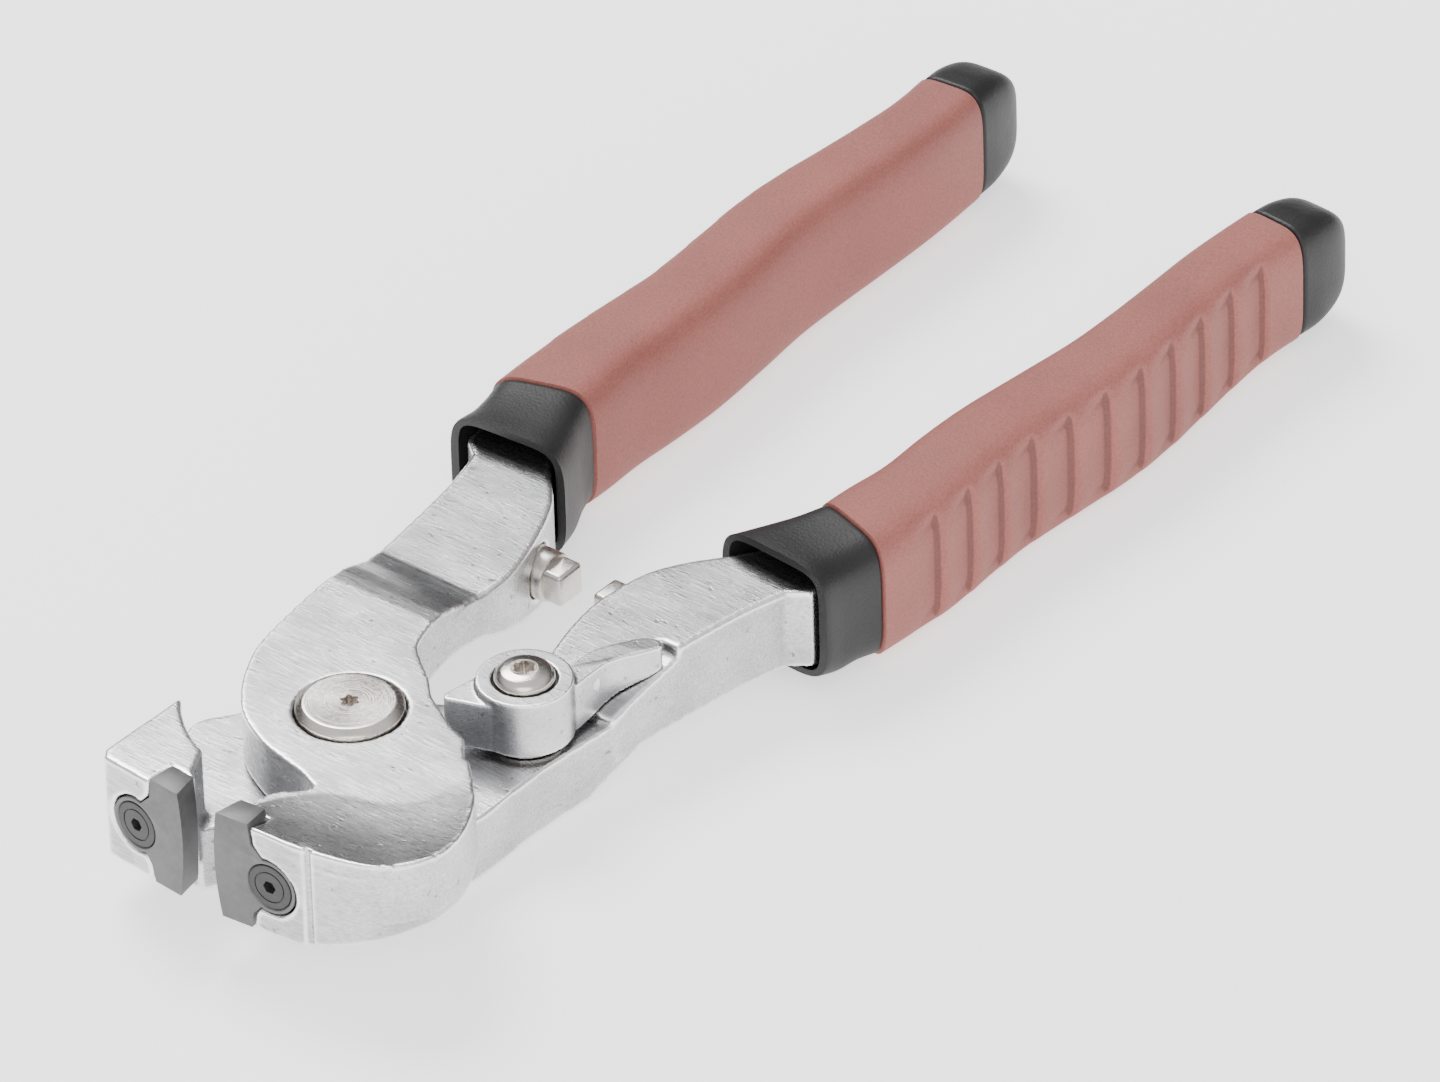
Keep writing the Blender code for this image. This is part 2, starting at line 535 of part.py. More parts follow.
def grip(side, black, red):
    """Collar, inner core, soft sleeve and end cap of one handle."""
    label = "right" if side > 0 else "left"
    root, neck = (30.85, 83.1, 17.0), (31.2, 90.0, 8.0)
    outer = [section(s, side) for s in COLLAR_STATIONS]
    outer += [section((*root, 6.4, 9.4, 0.0), side), section((*neck, 6.4, 9.4, 0.0), side)]
    inner = [section(s, side, 1.5, 6.0) for s in COLLAR_STATIONS[:4]]
    inner += [section((30.3, 81.2, 16.0, 6.0, 9.0, 0.0), side)]
    inner += [section((*s, 5.0, 7.8, 0.0), side) for s in ((30.8, 82.9, 17.0), neck)]
    tube(label + "_grip_collar", outer, inner, black)
    core = [(31.25, 90.4, 8.0, 6.0, 8.8, 0.0)]
    core += [resized(s, CORE_WIDE, CORE_HIGH) for s in SLEEVE_STATIONS[2:10]]
    tube(label + "_grip_core", [section(s, side) for s in core],
         [section(resized(s, 3.7, 5.3), side) for s in core], black)
    hollow = [resized(s, 6.8, 9.8) for s in SLEEVE_STATIONS[:2]]
    hollow += [resized(s, HOLLOW_WIDE, HOLLOW_HIGH) for s in SLEEVE_STATIONS[2:]]
    tube(label + "_grip_sleeve", [section(s, side) for s in SLEEVE_STATIONS],
         [section(s, side) for s in hollow], red)
    plug = [section((32.2, 176.0, 1.0, 4.5, 7.6, 0.0), side),
            section((32.7, 189.2, 5.0, 4.7, 7.8, 0.0), side)]
    cap = plug + [section(s, side) for s in CAP_STATIONS]
    loft(label + "_end_cap", cap, black, 50.0)


def tang(arm, side):
    """The arm's narrow end, which runs through the grip."""
    centre = [(30.0, 73.0), (31.0, 88.0), (31.7, 99.0), (31.3, 109.0), (31.2, 119.0), (32.2, 131.0),
              (33.3, 143.0), (33.3, 153.0), (32.7, 164.0), (32.2, 172.0)]
    plan = [(side * (x + 2.7), y) for x, y in centre]
    plan += [(side * (x - 2.7), y) for x, y in centre[::-1]]
    combine(arm, prism(arm.name + "_tang", plan, GRIP_AXIS_Z - 3.8, GRIP_AXIS_Z + 3.8), "UNION")


# ---- assembly -------------------------------------------------------------------------------
def build():
    clear_scene()
    aluminium = material("cast aluminium", (0.62, 0.62, 0.64), 0.35, 1.0)
    steel = material("turned steel", (0.60, 0.57, 0.53), 0.25, 1.0)
    spring = material("spring steel", (0.35, 0.35, 0.36), 0.35, 1.0)
    bronze = material("bronze", (0.55, 0.36, 0.16), 0.4, 1.0)
    carbide = material("carbide", (0.23, 0.23, 0.23), 0.45, 0.8)
    dark_steel = material("dark steel", (0.12, 0.12, 0.12), 0.45, 0.9)
    black = material("black plastic", (0.05, 0.05, 0.05), 0.5, 0.0)
    red = material("red soft grip", (0.42, 0.13, 0.11), 0.7, 0.0)
    left, right = left_arm(aluminium), right_arm(aluminium)
    for arm, jaw_side, arm_side in ((left, 1, -1), (right, -1, 1)):
        tang(arm, arm_side)
        blade_pocket(arm, jaw_side)
        peg_seat(arm, arm_side)
    blade("left_blade", -1, carbide)
    blade("right_blade", 1, carbide)
    blade_screw("left_blade_screw", -1, dark_steel)
    blade_screw("right_blade_screw", 1, dark_steel)
    pivot_bolt(steel)
    pivot_nut(steel)
    pivot_bushing(bronze)
    torsion_spring(spring)
    latch_lever(aluminium)
    latch_screw(steel)
    latch_sleeve(bronze)
    latch_washer(spring)
    stop_peg("left_stop_peg", -1, 6.0, LEFT_PEG_END, steel)
    stop_peg("right_stop_peg", 1, 8.0, RIGHT_PEG_END, steel)
    for side in (-1, 1):
        grip(side, black, red)


build()
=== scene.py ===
"""Looks of the tile nippers: detailed castings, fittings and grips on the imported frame.

Lengths in this file are millimetres, turned into metres where meshes are made. The pivot
axis is +Z through the origin, the jaws point to -Y and the handles run to +Y.
"""
from math import cos, pi, radians, sin

import bmesh
import bpy
from mathutils import Matrix, Vector


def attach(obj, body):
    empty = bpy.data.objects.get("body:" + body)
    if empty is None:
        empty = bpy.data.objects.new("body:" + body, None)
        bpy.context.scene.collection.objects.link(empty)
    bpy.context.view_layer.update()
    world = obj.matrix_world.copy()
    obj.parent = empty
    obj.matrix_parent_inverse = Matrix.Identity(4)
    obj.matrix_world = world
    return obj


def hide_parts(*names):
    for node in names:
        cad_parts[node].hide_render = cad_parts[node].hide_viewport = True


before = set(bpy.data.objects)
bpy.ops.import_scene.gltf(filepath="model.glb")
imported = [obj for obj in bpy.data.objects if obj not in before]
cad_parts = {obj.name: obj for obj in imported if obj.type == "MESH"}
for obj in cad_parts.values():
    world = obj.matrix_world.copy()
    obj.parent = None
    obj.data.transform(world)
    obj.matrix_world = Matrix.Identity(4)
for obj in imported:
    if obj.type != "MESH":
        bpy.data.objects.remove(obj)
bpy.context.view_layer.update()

MM = 0.001

# ---- dimensions shared with the frame, in millimetres ---------------------------------------
LAP_Z = 12.4
HUB_TOP, HUB_BOTTOM = 22.7, 1.0
ARM_TOP, ARM_BOTTOM = 19.4, 5.4
JAW_TOP, JAW_BOTTOM = 25.1, 6.6
SWING = 4.95
HUB_RADIUS, COVE_RADIUS = 24.0, 25.5
BOLT_HEAD_RADIUS, BOLT_HEAD_TOP = 8.45, HUB_TOP + 1.4
COUNTERBORE_RADIUS, COUNTERBORE_DEPTH = 8.75, 2.4
BOLT_RADIUS, BUSHING_RADIUS, SPRING_RADIUS = 3.0, 6.3, 8.6
GAP = 0.3                    # clearance that touching pieces keep
BLADE_HEIGHT, BLADE_THICKNESS, BLADE_FACE = 19.2, 4.8, 35.9
BLADE_SCREW_X, BLADE_SCREW_Z, BLADE_LOBE = 10.1, 8.9, 4.7
BLADE_SCREW_HEAD, BLADE_SCREW_SHANK, BLADE_SCREW_LENGTH = 3.85, 2.0, 12.0
LATCH_X, LATCH_Y, LATCH_RADIUS, LATCH_TOP = 16.5, 21.6, 7.55, 23.1
LATCH_SCREW_HEAD, LATCH_SCREW_SHANK, LATCH_SLEEVE = 4.75, 2.5, 3.6
PEG_Y, PEG_RADIUS, PEG_SQUARE = 56.0, 4.1, 5.6
NUT_FLANGE_RADIUS, NUT_FLANGE = 9.5, 1.8
LEFT_PEG_END, RIGHT_PEG_END = 2.8, 3.6        # from the middle to the pegs' noses
LEFT_PEG_BOSS, RIGHT_PEG_BOSS = 6.0, 8.0      # and to their round bosses
GRIP_AXIS_Z = 12.3

# ---- camera: angles in degrees, lengths in millimetres ------------------------------------------
VIEW_AZIMUTH, VIEW_ELEVATION, VIEW_ROLL = 39.79, 35.29, 1.71
VIEW_TARGET, VIEW_DISTANCE = (8.05, 79.06, 12.3), 2120.2
LENS, SENSOR = 341.35, 36.0


# ---- mesh helpers -----------------------------------------------------------------------------
def make(name, verts, faces, smooth_angle=32.0):
    """An object from points in millimetres, with its faces turned outwards."""
    mesh = bpy.data.meshes.new(name)
    mesh.from_pydata([tuple(c * MM for c in v) for v in verts], [], faces)
    bm = bmesh.new()
    bm.from_mesh(mesh)
    bmesh.ops.remove_doubles(bm, verts=bm.verts, dist=0.002 * MM)
    bmesh.ops.recalc_face_normals(bm, faces=bm.faces)
    bm.to_mesh(mesh)
    bm.free()
    mesh.shade_smooth()
    mesh.set_sharp_from_angle(angle=radians(smooth_angle))
    obj = bpy.data.objects.new(name, mesh)
    bpy.context.scene.collection.objects.link(obj)
    return obj


def loft(name, rings, smooth_angle=32.0):
    """A closed body through rings that all have the same number of points."""
    count = len(rings[0])
    verts = [p for ring in rings for p in ring]
    faces = [list(range(count))[::-1], [(len(rings) - 1) * count + i for i in range(count)]]
    for r in range(len(rings) - 1):
        for i in range(count):
            j = (i + 1) % count
            faces.append((r * count + i, r * count + j, (r + 1) * count + j, (r + 1) * count + i))
    return make(name, verts, faces, smooth_angle)


def ring_loft(name, rings, smooth_angle=50.0):
    """A closed tube: the last ring joins the first one."""
    count = len(rings[0])
    verts = [p for ring in rings for p in ring]
    faces = []
    for r in range(len(rings)):
        n = (r + 1) % len(rings)
        for i in range(count):
            j = (i + 1) % count
            faces.append((r * count + i, r * count + j, n * count + j, n * count + i))
    return make(name, verts, faces, smooth_angle)


def prism(name, outline, z0, z1):
    return loft(name, [[(x, y, z0) for x, y in outline], [(x, y, z1) for x, y in outline]])


def turned(name, profile, centre=(0.0, 0.0), sides=96, phase=0.0, smooth_angle=32.0):
    """A round piece about a vertical axis. A profile that leaves the axis makes a ring."""
    cx, cy = centre
    angles = [2 * pi * i / sides + phase for i in range(sides)]
    verts = [(cx + r * cos(a), cy + r * sin(a), z) for r, z in profile for a in angles]
    rings = len(profile)
    closed = profile[0][0] > 0.01
    faces = []
    for r in range(rings if closed else rings - 1):
        n = (r + 1) % rings
        for i in range(sides):
            j = (i + 1) % sides
            faces.append((r * sides + i, r * sides + j, n * sides + j, n * sides + i))
    return make(name, verts, faces, smooth_angle)


def rod(name, radius, z0, z1, centre=(0.0, 0.0), sides=64):
    return prism(name, arc(radius, 0.0, 360.0 * (sides - 1) / sides, sides - 1, centre), z0, z1)


def arc(radius, start, end, steps, centre=(0.0, 0.0)):
    """Points on an arc, angles in degrees."""
    span = [radians(start + (end - start) * i / steps) for i in range(steps + 1)]
    return [(centre[0] + radius * cos(a), centre[1] + radius * sin(a)) for a in span]


def blend_points(p0, p1, p2, p3, t):
    weights = (-0.5 * t + t * t - 0.5 * t ** 3, 1 - 2.5 * t * t + 1.5 * t ** 3,
               0.5 * t + 2 * t * t - 1.5 * t ** 3, -0.5 * t * t + 0.5 * t ** 3)
    return tuple(sum(w * p[a] for w, p in zip(weights, (p0, p1, p2, p3)))
                 for a in range(len(p1) - (1 if p1[-1] is True else 0)))


def curve_through(points, steps=8, closed=True):
    """A smooth curve through plan points. A point with a third value True stays a corner."""
    count = len(points)
    out = []
    for i in range(count if closed else count - 1):
        p1, p2 = points[i], points[(i + 1) % count]
        before = points[i - 1] if closed or i else p1
        after = points[(i + 2) % count] if closed or i + 2 < count else p2
        p0 = p1 if len(p1) > 2 else before
        p3 = p2 if len(p2) > 2 else after
        straight = p0 is p1 and p3 is p2
        for k in range(1 if straight else steps):
            out.append(blend_points(p0[:2], p1[:2], p2[:2], p3[:2], k / steps))
    if not closed:
        out.append(tuple(points[-1][:2]))
    return out


def along(stations, steps):
    """Smooth values between stations, which are tuples of numbers of equal length."""
    out = []
    last = len(stations) - 1
    for i in range(last):
        p0, p1 = stations[max(i - 1, 0)], stations[i]
        p2, p3 = stations[i + 1], stations[min(i + 2, last)]
        out += [blend_points(p0, p1, p2, p3, k / steps) for k in range(steps)]
    return out + [tuple(stations[-1])]


def settle(obj):
    """Turns an object's modifiers into mesh."""
    depsgraph = bpy.context.evaluated_depsgraph_get()
    mesh = bpy.data.meshes.new_from_object(obj.evaluated_get(depsgraph))
    old = obj.data
    obj.modifiers.clear()
    obj.data = mesh
    bpy.data.meshes.remove(old)
    return obj


def combine(target, tool, operation="DIFFERENCE"):
    """A Boolean with the exact solver. The tool is used up."""
    mod = target.modifiers.new("join", "BOOLEAN")
    mod.operation = operation
    mod.solver = "EXACT"
    mod.object = tool
    bpy.context.view_layer.update()
    settle(target)
    bpy.data.objects.remove(tool, do_unlink=True)
    target.data.shade_smooth()
    target.data.set_sharp_from_angle(angle=radians(28.0))
    return target


def bevelled(obj, width, segments=3, angle=30.0):
    """Rounds the edges of a clean mesh."""
    mod = obj.modifiers.new("round", "BEVEL")
    mod.width = width * MM
    mod.segments = segments
    mod.limit_method = "ANGLE"
    mod.angle_limit = radians(angle)
    mod.harden_normals = False
    settle(obj)
    obj.data.shade_smooth()
    obj.data.set_sharp_from_angle(angle=radians(40.0))
    return obj


# Voxel size, rounds of smoothing and the share of faces that is kept.
ARM_CASTING = (0.36, 6, 0.35)
LEVER_CASTING = (0.22, 4, 0.5)


def cast(obj, voxel, rounds, keep):
    """Gives a piece the softened edges of a casting, with a lighter mesh."""
    remesh = obj.modifiers.new("cast", "REMESH")
    remesh.mode = "VOXEL"
    remesh.voxel_size = voxel * MM
    smooth = obj.modifiers.new("soften", "SMOOTH")
    smooth.factor = 0.5
    smooth.iterations = rounds
    thin = obj.modifiers.new("thin", "DECIMATE")
    thin.ratio = keep
    settle(obj)
    obj.data.shade_smooth()
    return obj


# ---- the arms -----------------------------------------------------------------------------------
OUTER_EDGE = [(25.8, 32.0), (26.2, 38.0), (27.6, 49.0), (29.2, 59.0), (31.2, 66.6, True),
              (34.5, 69.2, True), (35.1, 73.6), (34.9, 77.0)]
LEFT_INNER_EDGE = [(24.6, 77.0), (22.0, 75.0), (18.4, 70.0), (12.9, 64.0), (8.7, 54.8), (5.9, 45.2),
                   (5.8, 37.0), (5.4, 32.0)]
RIGHT_INNER_EDGE = [(24.6, 77.0), (22.0, 75.0), (18.4, 70.0), (13.6, 64.0), (10.4, 57.6),
                    (9.2, 48.0), (10.2, 40.0), (12.1, 33.0)]


def bar_outline(side, inner_edge, front):
    """The arm between the hub and the end of its tang. front closes it at the hub."""
    outer = [(p[0] * side, *p[1:]) for p in OUTER_EDGE]
    inner = [(p[0] * side, *p[1:]) for p in inner_edge]
    outer[-1] += (True,)
    inner[0] += (True,)
    return curve_through(outer + inner + [(p[0] * side, p[1], True) for p in front])


BACK_EDGE = [(-6.2, 37.2, True), (-25.9, 37.2, True), (-24.9, 28.0), (-24.4, 20.0), (-22.3, 5.6),
             (-19.4, -1.6), (-16.2, -6.6), (-11.6, -11.2), (-5.2, -14.5), (0.2, -15.9), (4.6, -16.9)]
THROAT = [(8.5, -18.6, True), (7.4, -20.6), (5.1, -22.6), (3.9, -25.6), (3.7, -30.0, True)]
JAW_FRONT = [(3.6, -35.6, True), (19.8, -34.6, True)]
JAW_HORN = [(25.8, -33.6), (31.4, -31.0), (35.9, -24.6), (35.7, -17.0), (31.6, -8.6),
            (26.2, -2.4, True)]
NOTCH = [(23.2, 0.4, True), (22.0, 0.6, True), (18.9, 4.4, True), (15.4, 5.6, True)]
NECK_EDGE = [(10.8, 8.2), (7.6, 10.2), (5.0, 12.8), (-1.2, 17.6), (-3.2, 20.8), (-4.8, 27.0)]
# Where the flat of the hub ends and the hollow of the jaw begins, from the throat to the notch.
CREASE = [(6.0, -24.6), (8.6, -20.6), (12.2, -17.6), (19.2, -15.2), (22.6, -12.6), (24.2, -9.0),
          (25.0, -5.6), (25.6, -3.4)]
LIP = [(3.7, -35.7, 25.4), (11.7, -35.1, 25.5), (19.8, -34.6, 25.5), (30.9, -31.4, 25.3),
       (36.0, -24.6, 25.0), (35.7, -17.0, 24.4), (31.4, -8.4, 23.4), (26.2, -2.4, 22.8)]


def hub_outline():
    """The flat plate of the upper half-lap, hub and jaw together."""
    return curve_through(BACK_EDGE + THROAT + JAW_FRONT + JAW_HORN + NOTCH + NECK_EDGE)


def rim_body():
    """The jaw's raised rim: its top falls in a hollow curve from the lip to the hub's flat."""
    crease = along(CREASE, 6)
    lip = along(LIP, 6)
    rings = []
    for (cx, cy), (lx, ly, lz) in zip(crease, lip):
        ring = [(cx, cy, LAP_Z + 2.0), (cx, cy, HUB_TOP - 0.05)]
        for k in range(1, 9):
            s = k / 8
            rise = 0.35 * s + 0.65 * s ** 2.4
            ring.append((cx + (lx - cx) * s, cy + (ly - cy) * s, HUB_TOP + (lz - HUB_TOP) * rise))
        ring.append((lx, ly, LAP_Z + 2.0))
        rings.append(ring)
    return loft("rim", rings)


def side_cutter(name, points, width):
    """A block with the outline (y, z), as wide as the two x values in width."""
    return loft(name, [[(x, y, z) for y, z in points] for x in width])


def wedge_cutter(name, points, depth):
    return loft(name, [[(x, depth[0], z) for x, z in points], [(x, depth[1], z) for x, z in points]])


def hub_bore(arm, upper):
    """The bushing's bore with half of the closed spring pocket, and the head's counterbore."""
    bore, pocket = BUSHING_RADIUS + 0.15, SPRING_RADIUS + 2.0
    recess, floor = NUT_FLANGE_RADIUS + GAP, NUT_FLANGE + GAP
    if upper:
        head = HUB_TOP - COUNTERBORE_DEPTH
        profile = [(0.0, 40.0), (COUNTERBORE_RADIUS, 40.0), (COUNTERBORE_RADIUS, head), (bore, head),
                   (bore, LAP_Z + 2.6), (pocket, LAP_Z + 2.6), (pocket, LAP_Z - 4.0),
                   (0.0, LAP_Z - 4.0)]
    else:
        profile = [(0.0, LAP_Z + 4.0), (pocket, LAP_Z + 4.0), (pocket, LAP_Z - 2.6),
                   (bore, LAP_Z - 2.6), (bore, floor), (recess, floor), (recess, -5.0), (0.0, -5.0)]
    combine(arm, turned("bore", profile))


def left_arm():
    arm = prism("left_arm_cast", hub_outline(), LAP_Z + 0.15, HUB_TOP)
    slope = [(24.5, HUB_TOP + 0.02), (27.5, HUB_TOP - 0.25), (30.0, HUB_TOP - 0.95),
             (34.0, ARM_TOP + 0.75), (36.5, ARM_TOP + 0.2), (39.5, ARM_TOP), (41.0, 30.0),
             (24.5, 30.0)]
    combine(arm, side_cutter("slope", slope, (-40.0, 10.0)))
    combine(arm, rim_body(), "UNION")
    outline = bar_outline(-1, LEFT_INNER_EDGE, [(5.2, 29.0), (24.8, 29.0)])
    bar = prism("bar", outline, ARM_BOTTOM, ARM_TOP)
    under = [(20.0, 0.0), (57.0, 0.0), (57.0, ARM_BOTTOM - 0.1), (50.0, ARM_BOTTOM + 1.8),
             (36.0, LAP_Z - 0.8), (31.0, LAP_Z + 0.05), (20.0, LAP_Z + 0.05)]
    combine(bar, side_cutter("under", under, (-40.0, 10.0)))
    combine(arm, bar, "UNION")
    outline = curve_through(THROAT[2:] + JAW_FRONT + JAW_HORN[:3] +
                            [(35.6, -17.0, True), (20.0, -12.0, True), (9.0, -16.0, True)])
    jaw = prism("jaw", outline, JAW_BOTTOM, LAP_Z + 3.0)
    combine(jaw, rod("cove", COVE_RADIUS, 0.0, LAP_Z + 0.15, sides=128))
    heel = [(17.0, JAW_BOTTOM - 4.0), (40.0, JAW_BOTTOM - 4.0), (40.0, LAP_Z + 1.6),
            (17.0, JAW_BOTTOM - 0.4)]
    combine(jaw, wedge_cutter("heel", heel, (-45.0, 0.0)))
    combine(arm, jaw, "UNION")
    seam = [(20.0, -38.0), (21.0, -38.0), (21.0, -33.5), (20.0, -33.8)]
    combine(arm, prism("seam", seam, 0.0, 40.0))
    hub_bore(arm, True)
    return arm


def ledge_cutter():
    """Clears the outer side of the right arm, so that the latch's thumb fin can swing out."""
    rings = []
    for x, y in ((17.3, 25.0), (17.3, 30.0), (17.3, 34.0), (20.6, 41.0), (24.0, 45.6)):
        floor = LAP_Z + 0.6 + 4.6 * max(0.0, (y - 30.0) / 15.6)
        rings.append([(x, y, floor), (x, y, 30.0), (45.0, y, 30.0), (45.0, y, floor)])
    return loft("ledge", rings)


def right_arm():
    right = [(24.4, 2.0), (24.1, 10.0), (24.2, 17.0), (24.9, 26.0), (26.2, 37.0, True)]
    inner = [(10.8, 37.0, True), (11.6, 32.0), (6.0, 24.0), (-2.0, 18.6), (-12.0, 14.4),
             (-19.2, 6.6), (-22.6, -0.4)]
    neck = [(-26.0, -5.8), (-24.6, -12.0), (-20.8, -17.6, True), (-20.4, -25.0, True),
            (-7.6, -27.4, True)]
    disc = arc(HUB_RADIUS, 258.0, 350.0, 12)
    arm = prism("right_arm_cast", curve_through(right + inner + neck + disc), HUB_BOTTOM, LAP_Z - 0.15)
    heel = [(23.6, -4.0), (23.6, 0.2), (38.3, ARM_BOTTOM + 0.5), (45.0, -4.0)]
    combine(arm, side_cutter("heel", heel, (-3.0, 40.0)))
    outline = bar_outline(1, RIGHT_INNER_EDGE, [(12.6, 31.0), (25.4, 31.0)])
    bar = prism("bar", outline, ARM_BOTTOM, ARM_TOP)
    combine(bar, ledge_cutter())
    combine(arm, bar, "UNION")
    corner = [swing(-0.6, -1), swing(-16.4, -1), swing(-17.8, -1, 1.6)]
    block = corner + [(-20.4, -16.0), (-10.0, -16.0), (-9.0, -23.6), (-6.6, -28.6), (-3.9, -31.2)]
    jaw = prism("jaw", block, JAW_BOTTOM, JAW_TOP)
    combine(jaw, rod("cove", COVE_RADIUS, LAP_Z - 0.15, 40.0, sides=128))
    combine(arm, jaw, "UNION")
    hub_bore(arm, False)
    combine(arm, rod("thread", LATCH_SCREW_SHANK + 0.3, 4.0, LAP_Z + 2.0, (LATCH_X, LATCH_Y)))
    return arm


# ---- blades and their screws ------------------------------------------------------------------
def swing(x, side, depth=0.0):
    """A point on a blade's front face, given where it is with the jaws closed."""
    turn = radians(SWING) * -side
    y = -BLADE_FACE + depth
    return (x * cos(turn) + y * sin(turn), y * cos(turn) - x * sin(turn))


def blade_profile(grow=0.0):
    """Outline of a blade in its front face: (distance from the cutting edge, height)."""
    edge = []
    for i in range(17):
        h = BLADE_HEIGHT * i / 16
        edge.append((1.0 * ((h / BLADE_HEIGHT - 0.55) / 0.55) ** 2 - grow * 8, h - grow))
    edge[0] = (edge[0][0], -grow)
    edge[-1] = (edge[-1][0], BLADE_HEIGHT + grow)
    lobe = arc(BLADE_LOBE + grow, -112.0, 104.0, 28, (BLADE_SCREW_X, BLADE_SCREW_Z))
    neck = [(6.9 + grow, 15.6), (6.5 + grow, BLADE_HEIGHT + grow)]
    foot = [(6.5 + grow, -grow), (6.9 + grow, 2.8 - 0.6 * grow)]
    return edge[::-1] + foot + lobe + neck


def on_face(points, depth, side, lean=0.0):
    """Blade profile points at a depth behind the front face, in the tool's space."""
    out = []
    for s, h in points:
        s += lean * max(0.0, 1.0 - max(s, 0.0) / 4.0)
        x, y = swing(side * s, side, depth)
        out.append((x, y, JAW_BOTTOM + h))
    return out


def face_turned(name, profile, side, sides=64):
    """A round piece about a blade screw's axis. The profile is (radius, depth)."""
    return to_face(turned(name, [(r, -d) for r, d in profile], sides=sides), side)


def to_face(piece, side):
    x, y = swing(side * BLADE_SCREW_X, side)
    place = Matrix.Translation(Vector((x, y, JAW_BOTTOM + BLADE_SCREW_Z)) * MM)
    spin = Matrix.Rotation(radians(SWING) * side, 4, "Z") @ Matrix.Rotation(radians(90.0), 4, "X")
    piece.data.transform(place @ spin)
    return piece


def blade(name, side):
    shape = blade_profile()
    body = loft(name, [on_face(shape, 0.0, side), on_face(shape, BLADE_THICKNESS, side, 1.6)])
    hole = [(0.0, -0.4), (BLADE_SCREW_HEAD + 0.55, -0.4), (BLADE_SCREW_HEAD + 0.2, 0.15),
            (BLADE_SCREW_SHANK + 0.3, 2.2), (BLADE_SCREW_SHANK + 0.3, 8.0), (0.0, 8.0)]
    combine(body, face_turned("hole", hole, side))
    return bevelled(body, 0.12, 2, 35.0)


def blade_screw(name, side):
    rim = [(BLADE_SCREW_HEAD - 0.15, 0.04), (BLADE_SCREW_HEAD - 0.03, 0.12), (BLADE_SCREW_HEAD, 0.25)]
    groove = [(2.75, 0.04), (2.7, 0.2), (2.55, 0.2), (2.5, 0.04)]
    profile = [(0.0, 0.0)] + groove[::-1] + rim + [(BLADE_SCREW_SHANK, 2.2),
                                                  (BLADE_SCREW_SHANK, BLADE_SCREW_LENGTH),
                                                  (0.0, BLADE_SCREW_LENGTH)]
    screw = face_turned(name, profile, side, 72)
    combine(screw, to_face(rod("socket", 1.15, -1.4, 1.0, sides=6), side))
    return screw


def blade_pocket(arm, side):
    shape = blade_profile(0.3)
    pocket = loft("pocket", [on_face(shape, -3.0, side), on_face(shape, BLADE_THICKNESS + 0.3, side)])
    combine(arm, pocket)
    hole = [(0.0, 1.0), (BLADE_SCREW_SHANK + 0.3, 1.0),
            (BLADE_SCREW_SHANK + 0.3, BLADE_SCREW_LENGTH + 0.6), (0.0, BLADE_SCREW_LENGTH + 0.6)]
    combine(arm, face_turned("screw_hole", hole, side))


# ---- pivot bolt and latch -----------------------------------------------------------------------
def lobed(name, inner, outer, z0, z1, centre=(0.0, 0.0), turn=0.0):
    """A six-lobed socket cutter."""
    outline = []
    for i in range(72):
        a = 2 * pi * i / 72
        r = inner + (outer - inner) * (0.5 + 0.5 * cos(6 * a)) ** 0.8
        outline.append((centre[0] + r * cos(a + turn), centre[1] + r * sin(a + turn)))
    return prism(name, outline, z0, z1)


def pivot_bolt():
    top, edge = BOLT_HEAD_TOP, BOLT_HEAD_RADIUS
    profile = [(0.0, top), (edge - 1.6, top), (edge - 1.25, top), (edge - 1.1, top - 0.05),
               (edge - 0.15, top - 0.75), (edge, top - 0.95), (edge, 20.6), (BOLT_RADIUS, 20.6),
               (BOLT_RADIUS, 6.4), (0.0, 6.4)]
    bolt = turned("pivot_bolt_turned", profile, sides=160)
    combine(bolt, lobed("socket", 1.1, 1.6, top - 2.2, top + 2.0, turn=0.3))
    return bolt


def latch_lever():
    at = (LATCH_X, LATCH_Y)
    base = LAP_Z + 0.9
    lever = rod("latch_lever_cast", LATCH_RADIUS, base, LATCH_TOP, at, 96)
    nose = [(10.6, 24.6), (9.3, 19.0), (8.2, 12.4), (8.9, 11.4), (16.0, 13.9), (18.0, 17.0)]
    combine(lever, prism("nose", nose, base + 0.01, LATCH_TOP - 1.3), "UNION")
    outer = [(23.0, 23.0), (22.6, 30.0), (23.0, 35.0), (25.6, 40.4), (26.2, 42.4)]
    inner = [(25.0, 43.6), (22.6, 42.6), (19.6, 37.2), (18.6, 33.4), (18.3, 23.0)]
    plan = curve_through([(*outer[0], True)] + outer[1:] + inner[:-1] + [(*inner[-1], True)])
    low = [(x, y, base + 0.02 + 3.6 * max(0.0, (y - 29.0) / 13.6) ** 1.2) for x, y in plan]
    high = [(x, y, LATCH_TOP - 1.5 - 0.5 * max(0.0, (y - 34.0) / 9.0)) for x, y in plan]
    combine(lever, loft("fin", [low, high]), "UNION")
    combine(lever, rod("seat", LATCH_SCREW_HEAD + 0.4, LATCH_TOP - 1.4, 40.0, at))
    combine(lever, rod("hole", LATCH_SLEEVE + 0.3, 0.0, 40.0, at))
    return lever


